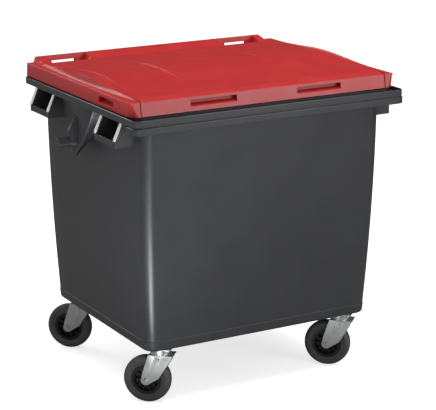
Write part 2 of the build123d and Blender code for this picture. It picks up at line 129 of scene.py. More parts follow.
def make_world():
    """A white surround, dim to mirror rays."""
    world = bpy.data.worlds.new("studio")
    bpy.context.scene.world = world
    world.use_nodes = True
    tree = world.node_tree
    path = tree.nodes.new("ShaderNodeLightPath")
    levels = tree.nodes.new("ShaderNodeMapRange")
    levels.inputs["To Min"].default_value = 0.62
    levels.inputs["To Max"].default_value = 0.06
    tree.links.new(path.outputs["Is Glossy Ray"], levels.inputs["Value"])
    brighten = tree.nodes.new("ShaderNodeMath")
    brighten.operation = "ADD"
    tree.links.new(levels.outputs["Result"], brighten.inputs[0])
    tree.links.new(path.outputs["Is Camera Ray"], brighten.inputs[1])
    background = tree.nodes["Background"]
    background.inputs["Color"].default_value = (1, 1, 1, 1)
    tree.links.new(brighten.outputs["Value"], background.inputs["Strength"])


make_world()
bpy.context.scene.view_settings.view_transform = "Standard"

# %% [markdown]
# ## Shared effects as node groups
# A finish is more than a colour. Each group below makes one effect from the piece's own
# Object coordinates, so it stays put when the piece moves: a moulded grain, a brushed
# metal grain, and a pale film low down. On the tub that film is light dust at the base; on
# the tyres it is painted light, making their lower half paler as if lit from the floor.
# A group gives only masks and heights. The shader itself stays in each material, so that
# it can be exported.

# %% Group helper
def new_group(name, inputs, outputs):
    group = bpy.data.node_groups.new(name, "ShaderNodeTree")
    for label, value in inputs:
        socket = group.interface.new_socket(label, in_out="INPUT", socket_type="NodeSocketFloat")
        socket.default_value = value
    for label in outputs:
        group.interface.new_socket(label, in_out="OUTPUT", socket_type="NodeSocketFloat")
    return group, group.nodes.new("NodeGroupInput"), group.nodes.new("NodeGroupOutput")


def add_noise(tree, coordinates, scale, detail, stretch=(1, 1, 1)):
    """Noise on object coordinates, stretched along an axis; scale is a value or a socket."""
    mapping = tree.nodes.new("ShaderNodeMapping")
    mapping.inputs["Scale"].default_value = stretch
    tree.links.new(coordinates, mapping.inputs["Vector"])
    noise = tree.nodes.new("ShaderNodeTexNoise")
    noise.inputs["Detail"].default_value = detail
    tree.links.new(mapping.outputs["Vector"], noise.inputs["Vector"])
    if isinstance(scale, (int, float)):
        noise.inputs["Scale"].default_value = scale
    else:
        tree.links.new(scale, noise.inputs["Scale"])
    return noise.outputs["Fac"]


def add_range(tree, value, low, high, to_low=0.0, to_high=1.0):
    """Map a value range onto another, clamped."""
    node = tree.nodes.new("ShaderNodeMapRange")
    node.inputs["From Min"].default_value = low
    node.inputs["From Max"].default_value = high
    node.inputs["To Min"].default_value = to_low
    node.inputs["To Max"].default_value = to_high
    tree.links.new(value, node.inputs["Value"])
    return node.outputs["Result"]


def add_math(tree, operation, first, second):
    node = tree.nodes.new("ShaderNodeMath")
    node.operation = operation
    for socket, value in zip(node.inputs, (first, second)):
        if isinstance(value, (int, float)):
            socket.default_value = value
        else:
            tree.links.new(value, socket)
    return node.outputs["Value"]


# %% Moulded grain, brushed grain, and dust with painted floor light
def make_moulded_grain():
    group, into, out = new_group("moulded_grain", [("Grain", 900.0), ("Mottle", 7.0)],
                                 ["Height", "Tone"])
    place = group.nodes.new("ShaderNodeTexCoord").outputs["Object"]
    fine = add_noise(group, place, into.outputs["Grain"], 2)
    broad = add_noise(group, place, into.outputs["Mottle"], 3)
    group.links.new(add_range(group, fine, 0.3, 0.7), out.inputs["Height"])
    group.links.new(add_range(group, broad, 0.3, 0.7), out.inputs["Tone"])
    return group


def make_brushed_grain():
    group, into, out = new_group("brushed_grain", [("Lines", 160.0), ("Spangle", 28.0)],
                                 ["Height", "Tone"])
    place = group.nodes.new("ShaderNodeTexCoord").outputs["Object"]
    lines = add_noise(group, place, into.outputs["Lines"], 3, (1, 1, 0.05))
    cells = group.nodes.new("ShaderNodeTexVoronoi")
    group.links.new(place, cells.inputs["Vector"])
    group.links.new(into.outputs["Spangle"], cells.inputs["Scale"])
    group.links.new(add_range(group, lines, 0.3, 0.7), out.inputs["Height"])
    group.links.new(add_range(group, cells.outputs["Color"], 0.0, 1.0), out.inputs["Tone"])
    return group


# Pale film low down: light dust on the tub's base, and painted light on the tyres, whose lower half it makes paler
# as if lit from the floor.
def make_dust_and_floor_light_film():
    group, into, out = new_group("dust_and_floor_light_film", [("Low", 0.0), ("High", 0.3)], ["Mask"])
    place = group.nodes.new("ShaderNodeTexCoord").outputs["Object"]
    split = group.nodes.new("ShaderNodeSeparateXYZ")
    group.links.new(place, split.inputs["Vector"])
    height = group.nodes.new("ShaderNodeMapRange")
    group.links.new(split.outputs["Z"], height.inputs["Value"])
    group.links.new(into.outputs["Low"], height.inputs["From Min"])
    group.links.new(into.outputs["High"], height.inputs["From Max"])
    height.inputs["To Min"].default_value = 1.0
    height.inputs["To Max"].default_value = 0.0
    patches = add_range(group, add_noise(group, place, 22, 4), 0.42, 0.62)
    group.links.new(add_math(group, "MULTIPLY", height.outputs["Result"], patches),
                    out.inputs["Mask"])
    return group


moulded_grain = make_moulded_grain()
brushed_grain = make_brushed_grain()
dust_and_floor_light_film = make_dust_and_floor_light_film()
print("groups", [g.name for g in bpy.data.node_groups])

# %% [markdown]
# ## Finishes
# Every finish is a Principled shader with a grain group behind its colour, roughness and
# bump. Two colours close to each other, mixed by the broad mottle, keep a large moulded
# face from looking like flat paint.

# %% Finish helper
def place_group(tree, group, **values):
    node = tree.nodes.new("ShaderNodeGroup")
    node.node_tree = group
    for label, value in values.items():
        node.inputs[label].default_value = value
    return node


def mix_colours(tree, mask, first, second):
    node = tree.nodes.new("ShaderNodeMix")
    node.data_type = "RGBA"
    tree.links.new(mask, node.inputs["Factor"])
    for socket, value in ((node.inputs[6], first), (node.inputs[7], second)):
        if isinstance(value, tuple):
            socket.default_value = (*value, 1)
        else:
            tree.links.new(value, socket)
    return node.outputs[2]


def make_finish(name, group, values, colours, rough, bump, metallic=0.0, specular=0.5,
                dust_and_floor_light=None):
    """One Principled material: two near colours, a roughness range and a bump depth."""
    material = bpy.data.materials.new(name)
    material.use_nodes = True
    tree = material.node_tree
    shader = tree.nodes["Principled BSDF"]
    shader.inputs["Metallic"].default_value = metallic
    shader.inputs["Specular IOR Level"].default_value = specular
    grain = place_group(tree, group, **values)
    colour = mix_colours(tree, grain.outputs["Tone"], *colours)
    if dust_and_floor_light:
        film = place_group(tree, dust_and_floor_light_film, Low=dust_and_floor_light[0], High=dust_and_floor_light[1])
        colour = mix_colours(tree, add_math(tree, "MULTIPLY", film.outputs["Mask"], dust_and_floor_light[2]),
                             colour, dust_and_floor_light[3])
    tree.links.new(colour, shader.inputs["Base Color"])
    tree.links.new(add_range(tree, grain.outputs["Tone"], 0, 1, *rough),
                   shader.inputs["Roughness"])
    relief = tree.nodes.new("ShaderNodeBump")
    relief.inputs["Distance"].default_value = bump
    relief.inputs["Strength"].default_value = 0.5
    tree.links.new(grain.outputs["Height"], relief.inputs["Height"])
    tree.links.new(relief.outputs["Normal"], shader.inputs["Normal"])
    return material


# %% The finishes of this container
# Pale colour of the low film: dust on the tub, painted floor light on the tyres.
PALE_DUST_AND_FLOOR_LIGHT = (0.16, 0.15, 0.14)
plastic_values = {"Grain": 900.0, "Mottle": 7.0}
metal_values = {"Lines": 160.0, "Spangle": 28.0}
finishes = {
    "tub_plastic": make_finish("tub_plastic", moulded_grain, plastic_values,
                               ((0.034, 0.035, 0.038), (0.038, 0.039, 0.042)), (0.32, 0.38),
                               0.0001, specular=0.5, dust_and_floor_light=(0.24, 0.36, 0.05, PALE_DUST_AND_FLOOR_LIGHT)),
    "lid_plastic": make_finish("lid_plastic", moulded_grain, plastic_values,
                               ((0.41, 0.016, 0.017), (0.45, 0.019, 0.020)), (0.35, 0.41),
                               0.0001, specular=0.55),
    # rim_plastic keeps its slot name: its near-black colour, far darker than the tub's own grey, is painted shade,
    # the dark of the channel between lid and rim.
    "rim_plastic": make_finish("rim_plastic", moulded_grain, {"Grain": 1400.0, "Mottle": 30.0},
                               ((0.008, 0.008, 0.009), (0.013, 0.013, 0.014)), (0.34, 0.44),
                               0.0001),
    "rubber": make_finish("rubber", moulded_grain, {"Grain": 1800.0, "Mottle": 40.0},
                          ((0.015, 0.015, 0.015), (0.022, 0.022, 0.022)), (0.6, 0.75), 0.0001),
    # On the tyres the pale low film is painted light from the floor, not dust.
    "tyre": make_finish("tyre", moulded_grain, {"Grain": 1200.0, "Mottle": 26.0},
                        ((0.055, 0.055, 0.057), (0.075, 0.075, 0.077)), (0.48, 0.6), 0.0002,
                        dust_and_floor_light=(0.0, 0.14, 0.25, PALE_DUST_AND_FLOOR_LIGHT)),
    "zinc": make_finish("zinc", brushed_grain, metal_values,
                        ((0.62, 0.63, 0.64), (0.74, 0.75, 0.75)), (0.3, 0.42), 0.0001,
                        metallic=0.9),
    # strip_zinc keeps its slot name: this near-white colour on the thin strips along the handle boxes' edges is a
    # painted highlight, the glint those plastic edges catch from the left.
    "strip_zinc": make_finish("strip_zinc", brushed_grain, metal_values,
                              ((0.74, 0.75, 0.74), (0.82, 0.83, 0.82)), (0.34, 0.46), 0.0001,
                              metallic=0.35),
    "bright_steel": make_finish("bright_steel", brushed_grain, metal_values,
                                ((0.5, 0.5, 0.52), (0.6, 0.6, 0.62)), (0.2, 0.3), 0.0001,
                                metallic=1.0),
    "pin_paint": make_finish("pin_paint", moulded_grain, {"Grain": 700.0, "Mottle": 20.0},
                             ((0.035, 0.037, 0.040), (0.045, 0.047, 0.050)), (0.34, 0.44),
                             0.0001),
}
print("finishes", sorted(finishes))

# %% [markdown]
# ## Floor
# The floor is one large pale plane. To the camera it is nearly white. Mirror rays see it
# darker, as if the room beyond it were dim, so the dark plastic keeps its contrast.

# %% Floor
def add_floor():
    bm = bmesh.new()
    bmesh.ops.create_grid(bm, x_segments=1, y_segments=1, size=40.0)
    mesh = bpy.data.meshes.new("floor")
    bm.to_mesh(mesh)
    bm.free()
    floor = bpy.data.objects.new("floor", mesh)
    bpy.context.collection.objects.link(floor)
    material = bpy.data.materials.new("floor_pale")
    material.use_nodes = True
    tree = material.node_tree
    shader = tree.nodes["Principled BSDF"]
    shader.inputs["Roughness"].default_value = 0.9
    seen = tree.nodes.new("ShaderNodeLightPath").outputs["Is Camera Ray"]
    tree.links.new(mix_colours(tree, seen, (0.22, 0.22, 0.22), (0.9, 0.9, 0.9)),
                   shader.inputs["Base Color"])
    shader.inputs["Emission Color"].default_value = (1, 1, 1, 1)
    tree.links.new(add_math(tree, "MULTIPLY", seen, 0.62), shader.inputs["Emission Strength"])
    mesh.materials.append(material)
    return floor


floor = add_floor()

# %% [markdown]
# ## Mesh helpers
# A large rounded moulding is a stack of rounded rectangles. Each ring starts as a circle
# from an operator, whose quarters are moved apart to the four corners. Two rings in a row
# are joined by bridge_loops. A wall, a rim or a band is then a short list of rings.

# %% Rings and pieces
CORNER_STEPS = 12
SHARP = math.radians(32)


def add_ring(bm, side, front, rear, z, radius):
    """A rounded rectangle at height z, returned as its edges."""
    count = 4 * CORNER_STEPS
    ring = bmesh.ops.create_circle(bm, cap_ends=False, radius=radius, segments=count)["verts"]
    bmesh.ops.rotate(bm, verts=ring, cent=(0, 0, 0), matrix=Matrix.Rotation(math.pi / count, 3, "Z"))
    for vert in ring:
        vert.co.x += math.copysign(side - radius, vert.co.x)
        vert.co.y += rear - radius if vert.co.y > 0 else front + radius
        vert.co.z = z
    return list({edge for vert in ring for edge in vert.link_edges})


def stack_rings(rings, closed=False, cap_first=False, cap_last=False):
    """A mesh bridged through rings given as (side, front, rear, z, radius)."""
    bm = bmesh.new()
    loops = [add_ring(bm, *ring) for ring in rings]
    for lower, upper in zip(loops, loops[1:]):
        bmesh.ops.bridge_loops(bm, edges=lower + upper)
    if closed:
        bmesh.ops.bridge_loops(bm, edges=loops[-1] + loops[0])
    if cap_first:
        bmesh.ops.contextual_create(bm, geom=loops[0])
    if cap_last:
        bmesh.ops.contextual_create(bm, geom=loops[-1])
    return bm


def make_piece(name, bm, finish, body, bevel=0.0, steps=2, nodes=()):
    """Turn a bmesh into a smooth-shaded piece with bevelled edges that rides on a body."""
    bm.normal_update()
    bmesh.ops.recalc_face_normals(bm, faces=bm.faces)
    mesh = bpy.data.meshes.new(name)
    bm.to_mesh(mesh)
    bm.free()
    return dress_mesh(name, mesh, finish, body, bevel, steps, nodes)


def dress_mesh(name, mesh, finish, body, bevel=0.0, steps=2, nodes=()):
    for polygon in mesh.polygons:
        polygon.use_smooth = True
    mesh.set_sharp_from_angle(angle=SHARP)
    mesh.materials.clear()
    mesh.materials.append(finishes[finish])
    piece = bpy.data.objects.new(name, mesh)
    bpy.context.collection.objects.link(piece)
    if bevel:
        modifier = piece.modifiers.new("edges", "BEVEL")
        modifier.width = bevel
        modifier.segments = steps
        modifier.limit_method = "ANGLE"
        modifier.angle_limit = SHARP
        modifier.harden_normals = True
        modifier.use_clamp_overlap = True
    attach(piece, body)
    if nodes:
        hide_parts(*nodes)
    return piece


def add_block(bm, low, high):
    """A box between two corners, added to a bmesh."""
    low, high = Vector(low), Vector(high)
    verts = bmesh.ops.create_cube(bm, size=1.0)["verts"]
    bmesh.ops.scale(bm, verts=verts, vec=high - low)
    bmesh.ops.translate(bm, verts=verts, vec=(low + high) / 2)
    return verts


def add_plate(bm, outline, thickness, plane):
    """A flat outline drawn out by a thickness: plane maps (u, v, depth) to a place."""
    verts = [bm.verts.new(plane(u, v, 0.0)) for u, v in outline]
    face = bm.faces.new(verts)
    grown = bmesh.ops.extrude_face_region(bm, geom=[face])["geom"]
    moved = [g for g in grown if isinstance(g, bmesh.types.BMVert)]
    bmesh.ops.translate(bm, verts=moved, vec=plane(0, 0, thickness) - plane(0, 0, 0))
    return verts + moved


def add_rod(bm, radius, start, end, segments=48, radius_end=None):
    """A capped cylinder or cone from start to end."""
    start, end = Vector(start), Vector(end)
    span = end - start
    turn = Vector((0, 0, 1)).rotation_difference(span).to_matrix().to_4x4()
    place = Matrix.Translation((start + end) / 2) @ turn
    rod = bmesh.ops.create_cone(bm, cap_ends=True, segments=segments, radius1=radius,
                                radius2=radius if radius_end is None else radius_end,
                                depth=span.length, matrix=place)
    return rod["verts"]


# %% [markdown]
# ## The tub wall
# On the real container the tub is one large injection moulding. It narrows a little
# towards the floor, and each wall bows out by a few millimetres, which keeps it stiff.
# A stack of rings follows the taper formula up the outside, turns over the top and comes
# back down the inside, so the wall has its true thickness.

# %% Tub wall
TUB_BASE, TUB_TOP = 0.245, 1.226
TAPER_TOP, TAPER_SPAN = 1.120, 0.860
WALL = 0.006
FLOOR_TOP = TUB_BASE + 0.008
BASE_BAND = 0.043
BASE_ROUND = 0.012
BOW = 0.004


def tub_outline(z, inset=0.0):
    """Half-width, front, rear, height and corner radius of the wall at height z."""
    t = (TAPER_TOP - z) / TAPER_SPAN
    side = 0.5526 + 0.0049 * t - 0.0300 * t * t
    front = 0.4809 - 0.0268 * t - 0.0160 * t * t
    rear = 0.4809 - 0.0315 * t - 0.0055 * t * t
    return side - inset, -front + inset, rear - inset, z, 0.050 - inset


def tub_rings():
    rings = []
    for step in range(6):
        angle = math.pi / 2 * step / 5
        lift = BASE_ROUND * (1 - math.cos(angle))
        side, front, rear, z, radius = tub_outline(TUB_BASE + lift)
        pull = BASE_ROUND * (1 - math.sin(angle)) - 0.002
        rings.append((side - pull, front + pull, rear - pull, z, radius - pull))
    rings.append(tub_outline(TUB_BASE + BASE_BAND - 0.002, -0.002))
    rings.append(tub_outline(TUB_BASE + BASE_BAND + 0.001))
    steps = 18
    low = TUB_BASE + BASE_BAND + 0.012
    for step in range(steps + 1):
        rings.append(tub_outline(low + (TUB_TOP - low) * step / steps))
    for step in range(steps + 1):
        z = TUB_TOP - (TUB_TOP - FLOOR_TOP - 0.02) * step / steps
        rings.append(tub_outline(z, WALL))
    rings.append(tub_outline(FLOOR_TOP + 0.006, WALL + 0.006))
    rings.append(tub_outline(FLOOR_TOP, WALL + 0.020))
    return rings


def bow_walls(bm):
    """Cut the long flat runs and push their middles out a little."""
    long_edges = [e for e in bm.edges if e.calc_length() > 0.5 and not e.is_boundary
                  and abs(e.verts[0].co.z - e.verts[1].co.z) < 0.001]
    bmesh.ops.subdivide_edges(bm, edges=long_edges, cuts=9, use_grid_fill=True)
    for vert in bm.verts:
        side, front, rear, z, radius = tub_outline(vert.co.z)
        across, along = vert.co.x / side, (vert.co.y - (front + rear) / 2) / ((rear - front) / 2)
        rise = math.sin(math.pi * min(max((vert.co.z - TUB_BASE) / (TUB_TOP - TUB_BASE), 0), 1))
        swell = BOW * rise
        if abs(across) < 0.92 and abs(along) > 0.93:
            vert.co.y += math.copysign(swell * (1 - (across / 0.92) ** 2), along)
        if abs(along) < 0.92 and abs(across) > 0.93:
            vert.co.x += math.copysign(swell * (1 - (along / 0.92) ** 2), across)


bm = stack_rings(tub_rings(), cap_first=True, cap_last=True)
bow_walls(bm)
print("tub wall faces", len(bm.faces))
tub_wall = make_piece("tub_wall", bm, "tub_plastic", "tub", nodes=["tub"])

# %% [markdown]
# ## The rim and the comb lip
# The rim is a flange with a skirt turned down from its edge. A shallow channel runs all the
# way round behind the edge. Along the front, below the skirt, a second band stands out,
# where the comb of a collection lorry takes hold. Both are rings of one cross-section, bridged right round.

# %% Rim
RIM_SIDE, RIM_FRONT, RIM_REAR = 0.6255, -0.542, 0.517
RIM_TOP, SKIRT_LOW = 1.230, 1.203
RIM_RADIUS = 0.030
RIM_T = 0.005
CHANNEL_DEPTH = 0.015


def rim_ring(offset, z):
    return (RIM_SIDE - offset, RIM_FRONT + offset, RIM_REAR - offset, z, RIM_RADIUS - offset)


def mouth_ring(offset, z):
    side, front, rear, _, radius = tub_outline(TUB_TOP, offset)
    return side, front, rear, z, radius


def make_rim():
    """Closed cross-section: skirt, top edge, drip channel under the lid's skirt, flange, neck."""
    low = RIM_TOP - CHANNEL_DEPTH
    channel_inner = (0.598, -0.490, 0.500)
    rings = [rim_ring(0.0, SKIRT_LOW), rim_ring(0.0, RIM_TOP - 0.0022), rim_ring(0.0022, RIM_TOP),
             rim_ring(0.0036, RIM_TOP), rim_ring(0.0045, RIM_TOP - 0.001), rim_ring(0.0055, low),
             (*channel_inner, low, 0.040), (*channel_inner, RIM_TOP - 0.001, 0.040),
             mouth_ring(0.002, RIM_TOP - 0.001), mouth_ring(WALL, RIM_TOP - 0.004),
             mouth_ring(WALL, RIM_TOP - 0.018), mouth_ring(-0.001, RIM_TOP - 0.018),
             mouth_ring(-0.002, low - RIM_T), rim_ring(0.0075, low - RIM_T),
             rim_ring(0.0075, SKIRT_LOW)]
    return stack_rings(rings, closed=True)


rim = make_piece("tub_rim_band", make_rim(), "tub_plastic", "tub", nodes=["tub_rim"])

# %% Comb lip
LIP_FRONT = cad_bounds[0][1]
LIP_LOW, LIP_TOP = 1.173, 1.199
LIP_END = RIM_FRONT + 0.080


def lip_ring(offset, z):
    return (RIM_SIDE + 0.001 - offset, LIP_FRONT + offset, RIM_REAR, z, RIM_RADIUS + 0.003 - offset)


def make_lip():
    rings = [lip_ring(0.0015, LIP_LOW), lip_ring(0.0, LIP_LOW + 0.0015), lip_ring(0.0, LIP_TOP - 0.0018),
             lip_ring(0.0018, LIP_TOP), lip_ring(0.010, LIP_TOP), lip_ring(0.010, SKIRT_LOW + 0.004),
             lip_ring(0.016, SKIRT_LOW + 0.004), lip_ring(0.016, LIP_TOP - 0.006),
             lip_ring(0.008, LIP_TOP - 0.012), lip_ring(0.008, LIP_LOW)]
    bm = stack_rings(rings, closed=True)
    everything = bm.verts[:] + bm.edges[:] + bm.faces[:]
    bmesh.ops.bisect_plane(bm, geom=everything, plane_co=(0, LIP_END, 0), plane_no=(0, 1, 0),
                           clear_outer=True)
    bmesh.ops.holes_fill(bm, edges=[e for e in bm.edges if e.is_boundary], sides=0)
    for place in range(-5, 6):
        x = place * 0.1
        add_block(bm, (x - 0.002, LIP_FRONT + 0.012, LIP_LOW + 0.004), (x + 0.002, -0.482, LIP_TOP - 0.004))
    return bm


lip = make_piece("comb_lip", make_lip(), "tub_plastic", "tub", nodes=["tub_rim"])
print("rim and lip faces", len(rim.data.polygons), len(lip.data.polygons))

# %% [markdown]
# ## Handle boxes, pin brackets and hinge ears
# Under each side of the rim hang two open boxes with a finger tray, and between them a
# wedge that carries the lifting pin. They are flat moulded plates, so each one is an
# outline drawn out to its thickness, on one side, and mirrored for the other.

# %% Side fittings
frame_joint = {j["name"]: j for j in frame["joints"]}
BOX_Y, BOX_HALF, CHEEK_T = 0.314, 0.086, 0.014
BOX_TOP_X, BOX_LOW_X = 0.612, 0.645
BOX_LOW_Z, BOX_LIP_Z = 1.100, 1.127
PIN_Y, PIN_Z = 0.042, 1.037
PIN_FACE, BRACKET_X = 0.638, 0.615
BRACKET_TILT = 0.13
EAR_INNER, EAR_OUTER = 0.566, 0.584
FLANGE_UNDER = 1.216
WALL_X = 0.545


def mirrored(bm, sign):
    """Turn a piece modelled at +X to the other side when sign is -1."""
    if sign < 0:
        bmesh.ops.scale(bm, verts=bm.verts, vec=(-1, 1, 1))
    return bm


def make_handle_box(sign, y_mid):
    bm = bmesh.new()
    cheek = [(WALL_X, FLANGE_UNDER), (BOX_TOP_X, FLANGE_UNDER), (BOX_TOP_X, 1.200), (BOX_LOW_X, BOX_LIP_Z),
             (BOX_LOW_X, BOX_LOW_Z), (0.576, BOX_LOW_Z), (WALL_X, 1.125)]
    for end in (-1, 1):
        y = y_mid + end * BOX_HALF - CHEEK_T / 2
        add_plate(bm, cheek, CHEEK_T, lambda u, v, w: Vector((u, y + w, v)))
    inner = BOX_HALF - CHEEK_T / 2 + 0.001
    tray = [(WALL_X, 1.126), (0.577, BOX_LOW_Z + 0.001), (BOX_LOW_X - 0.001, BOX_LOW_Z + 0.001),
            (BOX_LOW_X - 0.001, BOX_LIP_Z), (BOX_LOW_X - 0.007, BOX_LIP_Z),
            (BOX_LOW_X - 0.007, BOX_LOW_Z + 0.008), (0.581, BOX_LOW_Z + 0.008), (WALL_X, 1.135)]
    add_plate(bm, tray, 2 * inner, lambda u, v, w: Vector((u, y_mid - inner + w, v)))
    return mirrored(bm, sign)


def add_wedge_ring(bm, x, half):
    """One closed outline of the bracket, from half-widths and heights at a given X."""
    points = [(-y, z) for y, z in half] + [(y, z) for y, z in reversed(half)]
    verts = [bm.verts.new((x, PIN_Y + y, z)) for y, z in points]
    return [bm.edges.new(pair) for pair in zip(verts, verts[1:] + verts[:1])]


def make_bracket(sign):
    """A wedge whose underside rises towards the wall, with a gusset running down to the pin."""
    bm = bmesh.new()
    outer = [(0.146, FLANGE_UNDER), (0.146, 1.192), (0.124, 1.130),
             (0.064, 1.034), (0.030, 1.000), (0.010, 0.970)]
    face = [(y - 0.010, z) if y > 0.02 else (y * 0.5, z + 0.008) for y, z in outer]
    inner = [(0.156, FLANGE_UNDER), (0.156, 1.192), (0.132, 1.140),
             (0.096, 1.096), (0.060, 1.070), (0.020, 1.062)]
    loops = [add_wedge_ring(bm, x, half) for x, half in
             ((WALL_X, inner), (BRACKET_X - 0.010, outer),
              (BRACKET_X - 0.003, [(y - 0.003, z) for y, z in outer]),
              (BRACKET_X, face))]
    for vert in {v for ring in loops[1:] for e in ring for v in e.verts}:
        vert.co.x -= BRACKET_TILT * (vert.co.z - PIN_Z)
    for first, second in zip(loops, loops[1:]):
        bmesh.ops.bridge_loops(bm, edges=first + second)
    bmesh.ops.contextual_create(bm, geom=loops[0])
    bmesh.ops.contextual_create(bm, geom=loops[-1])
    steps = [(0.606, 1.142, 0.014), (0.622, 1.118, 0.020), (0.634, 1.096, 0.023), (PIN_FACE, 1.080, 0.0235)]
    levels = steps + [(PIN_FACE, PIN_Z, 0.024)]
    rings = []
    for x, z, half in levels:
        profile = [(0.600, -half), (x - 0.008, -half), (x - 0.002, -half * 0.75), (x, -half * 0.4),
                   (x, half * 0.4), (x - 0.002, half * 0.75), (x - 0.008, half), (0.600, half)]
        verts = [bm.verts.new((max(u, 0.600), PIN_Y + v, z)) for u, v in profile]
        rings.append([bm.edges.new(pair) for pair in zip(verts, verts[1:] + verts[:1])])
    for first, second in zip(rings, rings[1:]):
        bmesh.ops.bridge_loops(bm, edges=first + second)
    bmesh.ops.contextual_create(bm, geom=rings[0])
    bmesh.ops.contextual_create(bm, geom=rings[-1])
    add_rod(bm, 0.030, (0.600, PIN_Y, PIN_Z), (PIN_FACE, PIN_Y, PIN_Z), 64, 0.024)
    return mirrored(bm, sign)


def make_ear(sign):
    """Ear that stands on the rim behind the lid, rounded about the hinge pin."""
    bm = bmesh.new()
    _, y, z = frame_joint["lid_hinge"]["pos_m"]
    outline = [(0.495, 1.201), (0.527, 1.201), (0.527, z - 0.024), (0.532, z - 0.015)]
    for step in range(11):
        angle = math.radians(-60 + 240 * step / 10)
        outline.append((y + 0.013 * math.cos(angle), z + 0.013 * math.sin(angle)))
    outline += [(0.5125, z - 0.012), (0.5125, 1.229), (0.495, 1.225)]
    add_plate(bm, outline, EAR_OUTER - EAR_INNER, lambda u, v, w: Vector((EAR_INNER + w, u, v)))
    return mirrored(bm, sign)


def make_hinge_pin(sign):
    """Short steel pin with a low head, through the ear into the lid's bar."""
    bm = bmesh.new()
    _, y, z = frame_joint["lid_hinge"]["pos_m"]
    add_rod(bm, 0.006, (0.524, y, z), (EAR_OUTER + 0.001, y, z), 48)
    add_rod(bm, 0.009, (EAR_OUTER, y, z), (EAR_OUTER + 0.004, y, z), 48)
    return mirrored(bm, sign)


SIDES = (("left", -1), ("right", 1))
for side_name, sign in SIDES:
    for end_name, y_mid in (("front", -BOX_Y), ("rear", BOX_Y)):
        make_piece(f"handle_box_{end_name}_{side_name}", make_handle_box(sign, y_mid),
                   "tub_plastic", "tub", bevel=0.0015, nodes=[f"handle_boxes_{side_name}"])
    make_piece(f"pin_wedge_{side_name}", make_bracket(sign), "tub_plastic", "tub", bevel=0.0015,
               nodes=[f"pin_bracket_{side_name}"])
    make_piece(f"pivot_pin_{side_name}", make_hinge_pin(sign), "bright_steel", "tub", bevel=0.0010,
               nodes=[f"hinge_pin_{side_name}"])
    make_piece(f"rim_ear_{side_name}", make_ear(sign), "tub_plastic", "tub", bevel=0.0012,
               nodes=[f"hinge_ear_{side_name}"])

# %% [markdown]
# ## The lid
# The lid is one thin moulding: a flat margin, an arched middle with soft ribs, and a
# raised bar at the rear with two hand holes. Its top is one fine grid whose height comes
# from a few plain rules, so ribs and flanks flow into each other as on the real moulding.
# Lines are cut into the grid first where an edge must be crisp. The skirt grows from the
# grid's border, and Solidify gives the wall its thickness.

# %% Lid shape
LID_SIDE, LID_FRONT, LID_REAR = 0.6135, -0.484, 0.509
LID_BOTTOM, LID_MARGIN = 1.232, 1.2885
BAR_SIDE, BAR_REAR, BAR_FRONT, BAR_TOP = 0.563, 0.544, 0.527, 1.305
CREST_X, FOOT_X = 0.577, 0.597
RIB_X, CREASE_X = 0.246, 0.507
POCKET_IN, POCKET_OUT, POCKET_FRONT = 0.340, 0.515, 0.449
POCKET_LEAN = 0.004
LID_T = 0.0045
ROLL = 0.003
DRAFT, SIDE_DRAFT = 0.010, 0.002
CORNER_TOP_R, CORNER_LOW_R = 0.006, 0.038
CORNER_LINES = (0.001, 0.003, 0.006, 0.010, 0.015, 0.021, 0.028, 0.036)
INSET, FRONT_INSET = ROLL + SIDE_DRAFT, ROLL + DRAFT
BAR_LOW_Z = 1.250


def ease(value, low, high):
    """Smooth rise from 0 at low to 1 at high."""
    t = min(max((value - low) / (high - low), 0.0), 1.0)
    return t * t * (3 - 2 * t)


def arch(y):
    """Height of the arched middle above the margin."""
    if not -0.478 < y < 0.455:
        return 0.0
    shelf = 0.008 * ease(y, -0.478, -0.428) * (1 - ease(y, 0.395, 0.455))
    slow = 0.004 * ease(y, -0.43, -0.28) * (1 - ease(y, 0.28, 0.40))
    crown = 0.0155 * math.cos(math.pi / 2 * min(abs(y) / 0.34, 1.0)) ** 2
    return shelf + slow + crown


def crease_shift(y):
    """How far the outer crease bends away from its middle line."""
    return 0.043 * min(((y - 0.05) / 0.45) ** 2, 1.2)


def lid_height(across, y):
    """Top surface of the lid; across is the distance from the middle, before bending."""
    rise = arch(y)
    swell = min(rise / 0.024, 1.0)
    z = LID_MARGIN + rise
    if across > CREST_X:
        run = min((across - CREST_X) / (FOOT_X - CREST_X), 1.0)
        z = LID_MARGIN + rise * (1 - run) ** 2
    z -= 0.006 * swell * ease(across, CREASE_X - 0.006, CREASE_X + 0.012) * (across <= CREST_X)
    bead = max(0.0, 1 - abs(across - RIB_X) / 0.011)
    z += 0.006 * swell * bead * bead * (3 - 2 * bead)
    if across < BAR_SIDE:
        z += (BAR_TOP - LID_MARGIN) * min(max((y - 0.452) / (BAR_FRONT - 0.452), 0.0), 1.0)
    if POCKET_IN < across < POCKET_OUT and POCKET_FRONT < y < BAR_FRONT - 1e-5:
        z = 1.2870 - 0.025 * (y - POCKET_FRONT) / (BAR_FRONT - POCKET_FRONT)
    return z


def cut_line(bm, place, normal):
    everything = bm.verts[:] + bm.edges[:] + bm.faces[:]
    bmesh.ops.bisect_plane(bm, geom=everything, dist=1e-6, plane_co=place, plane_no=normal)


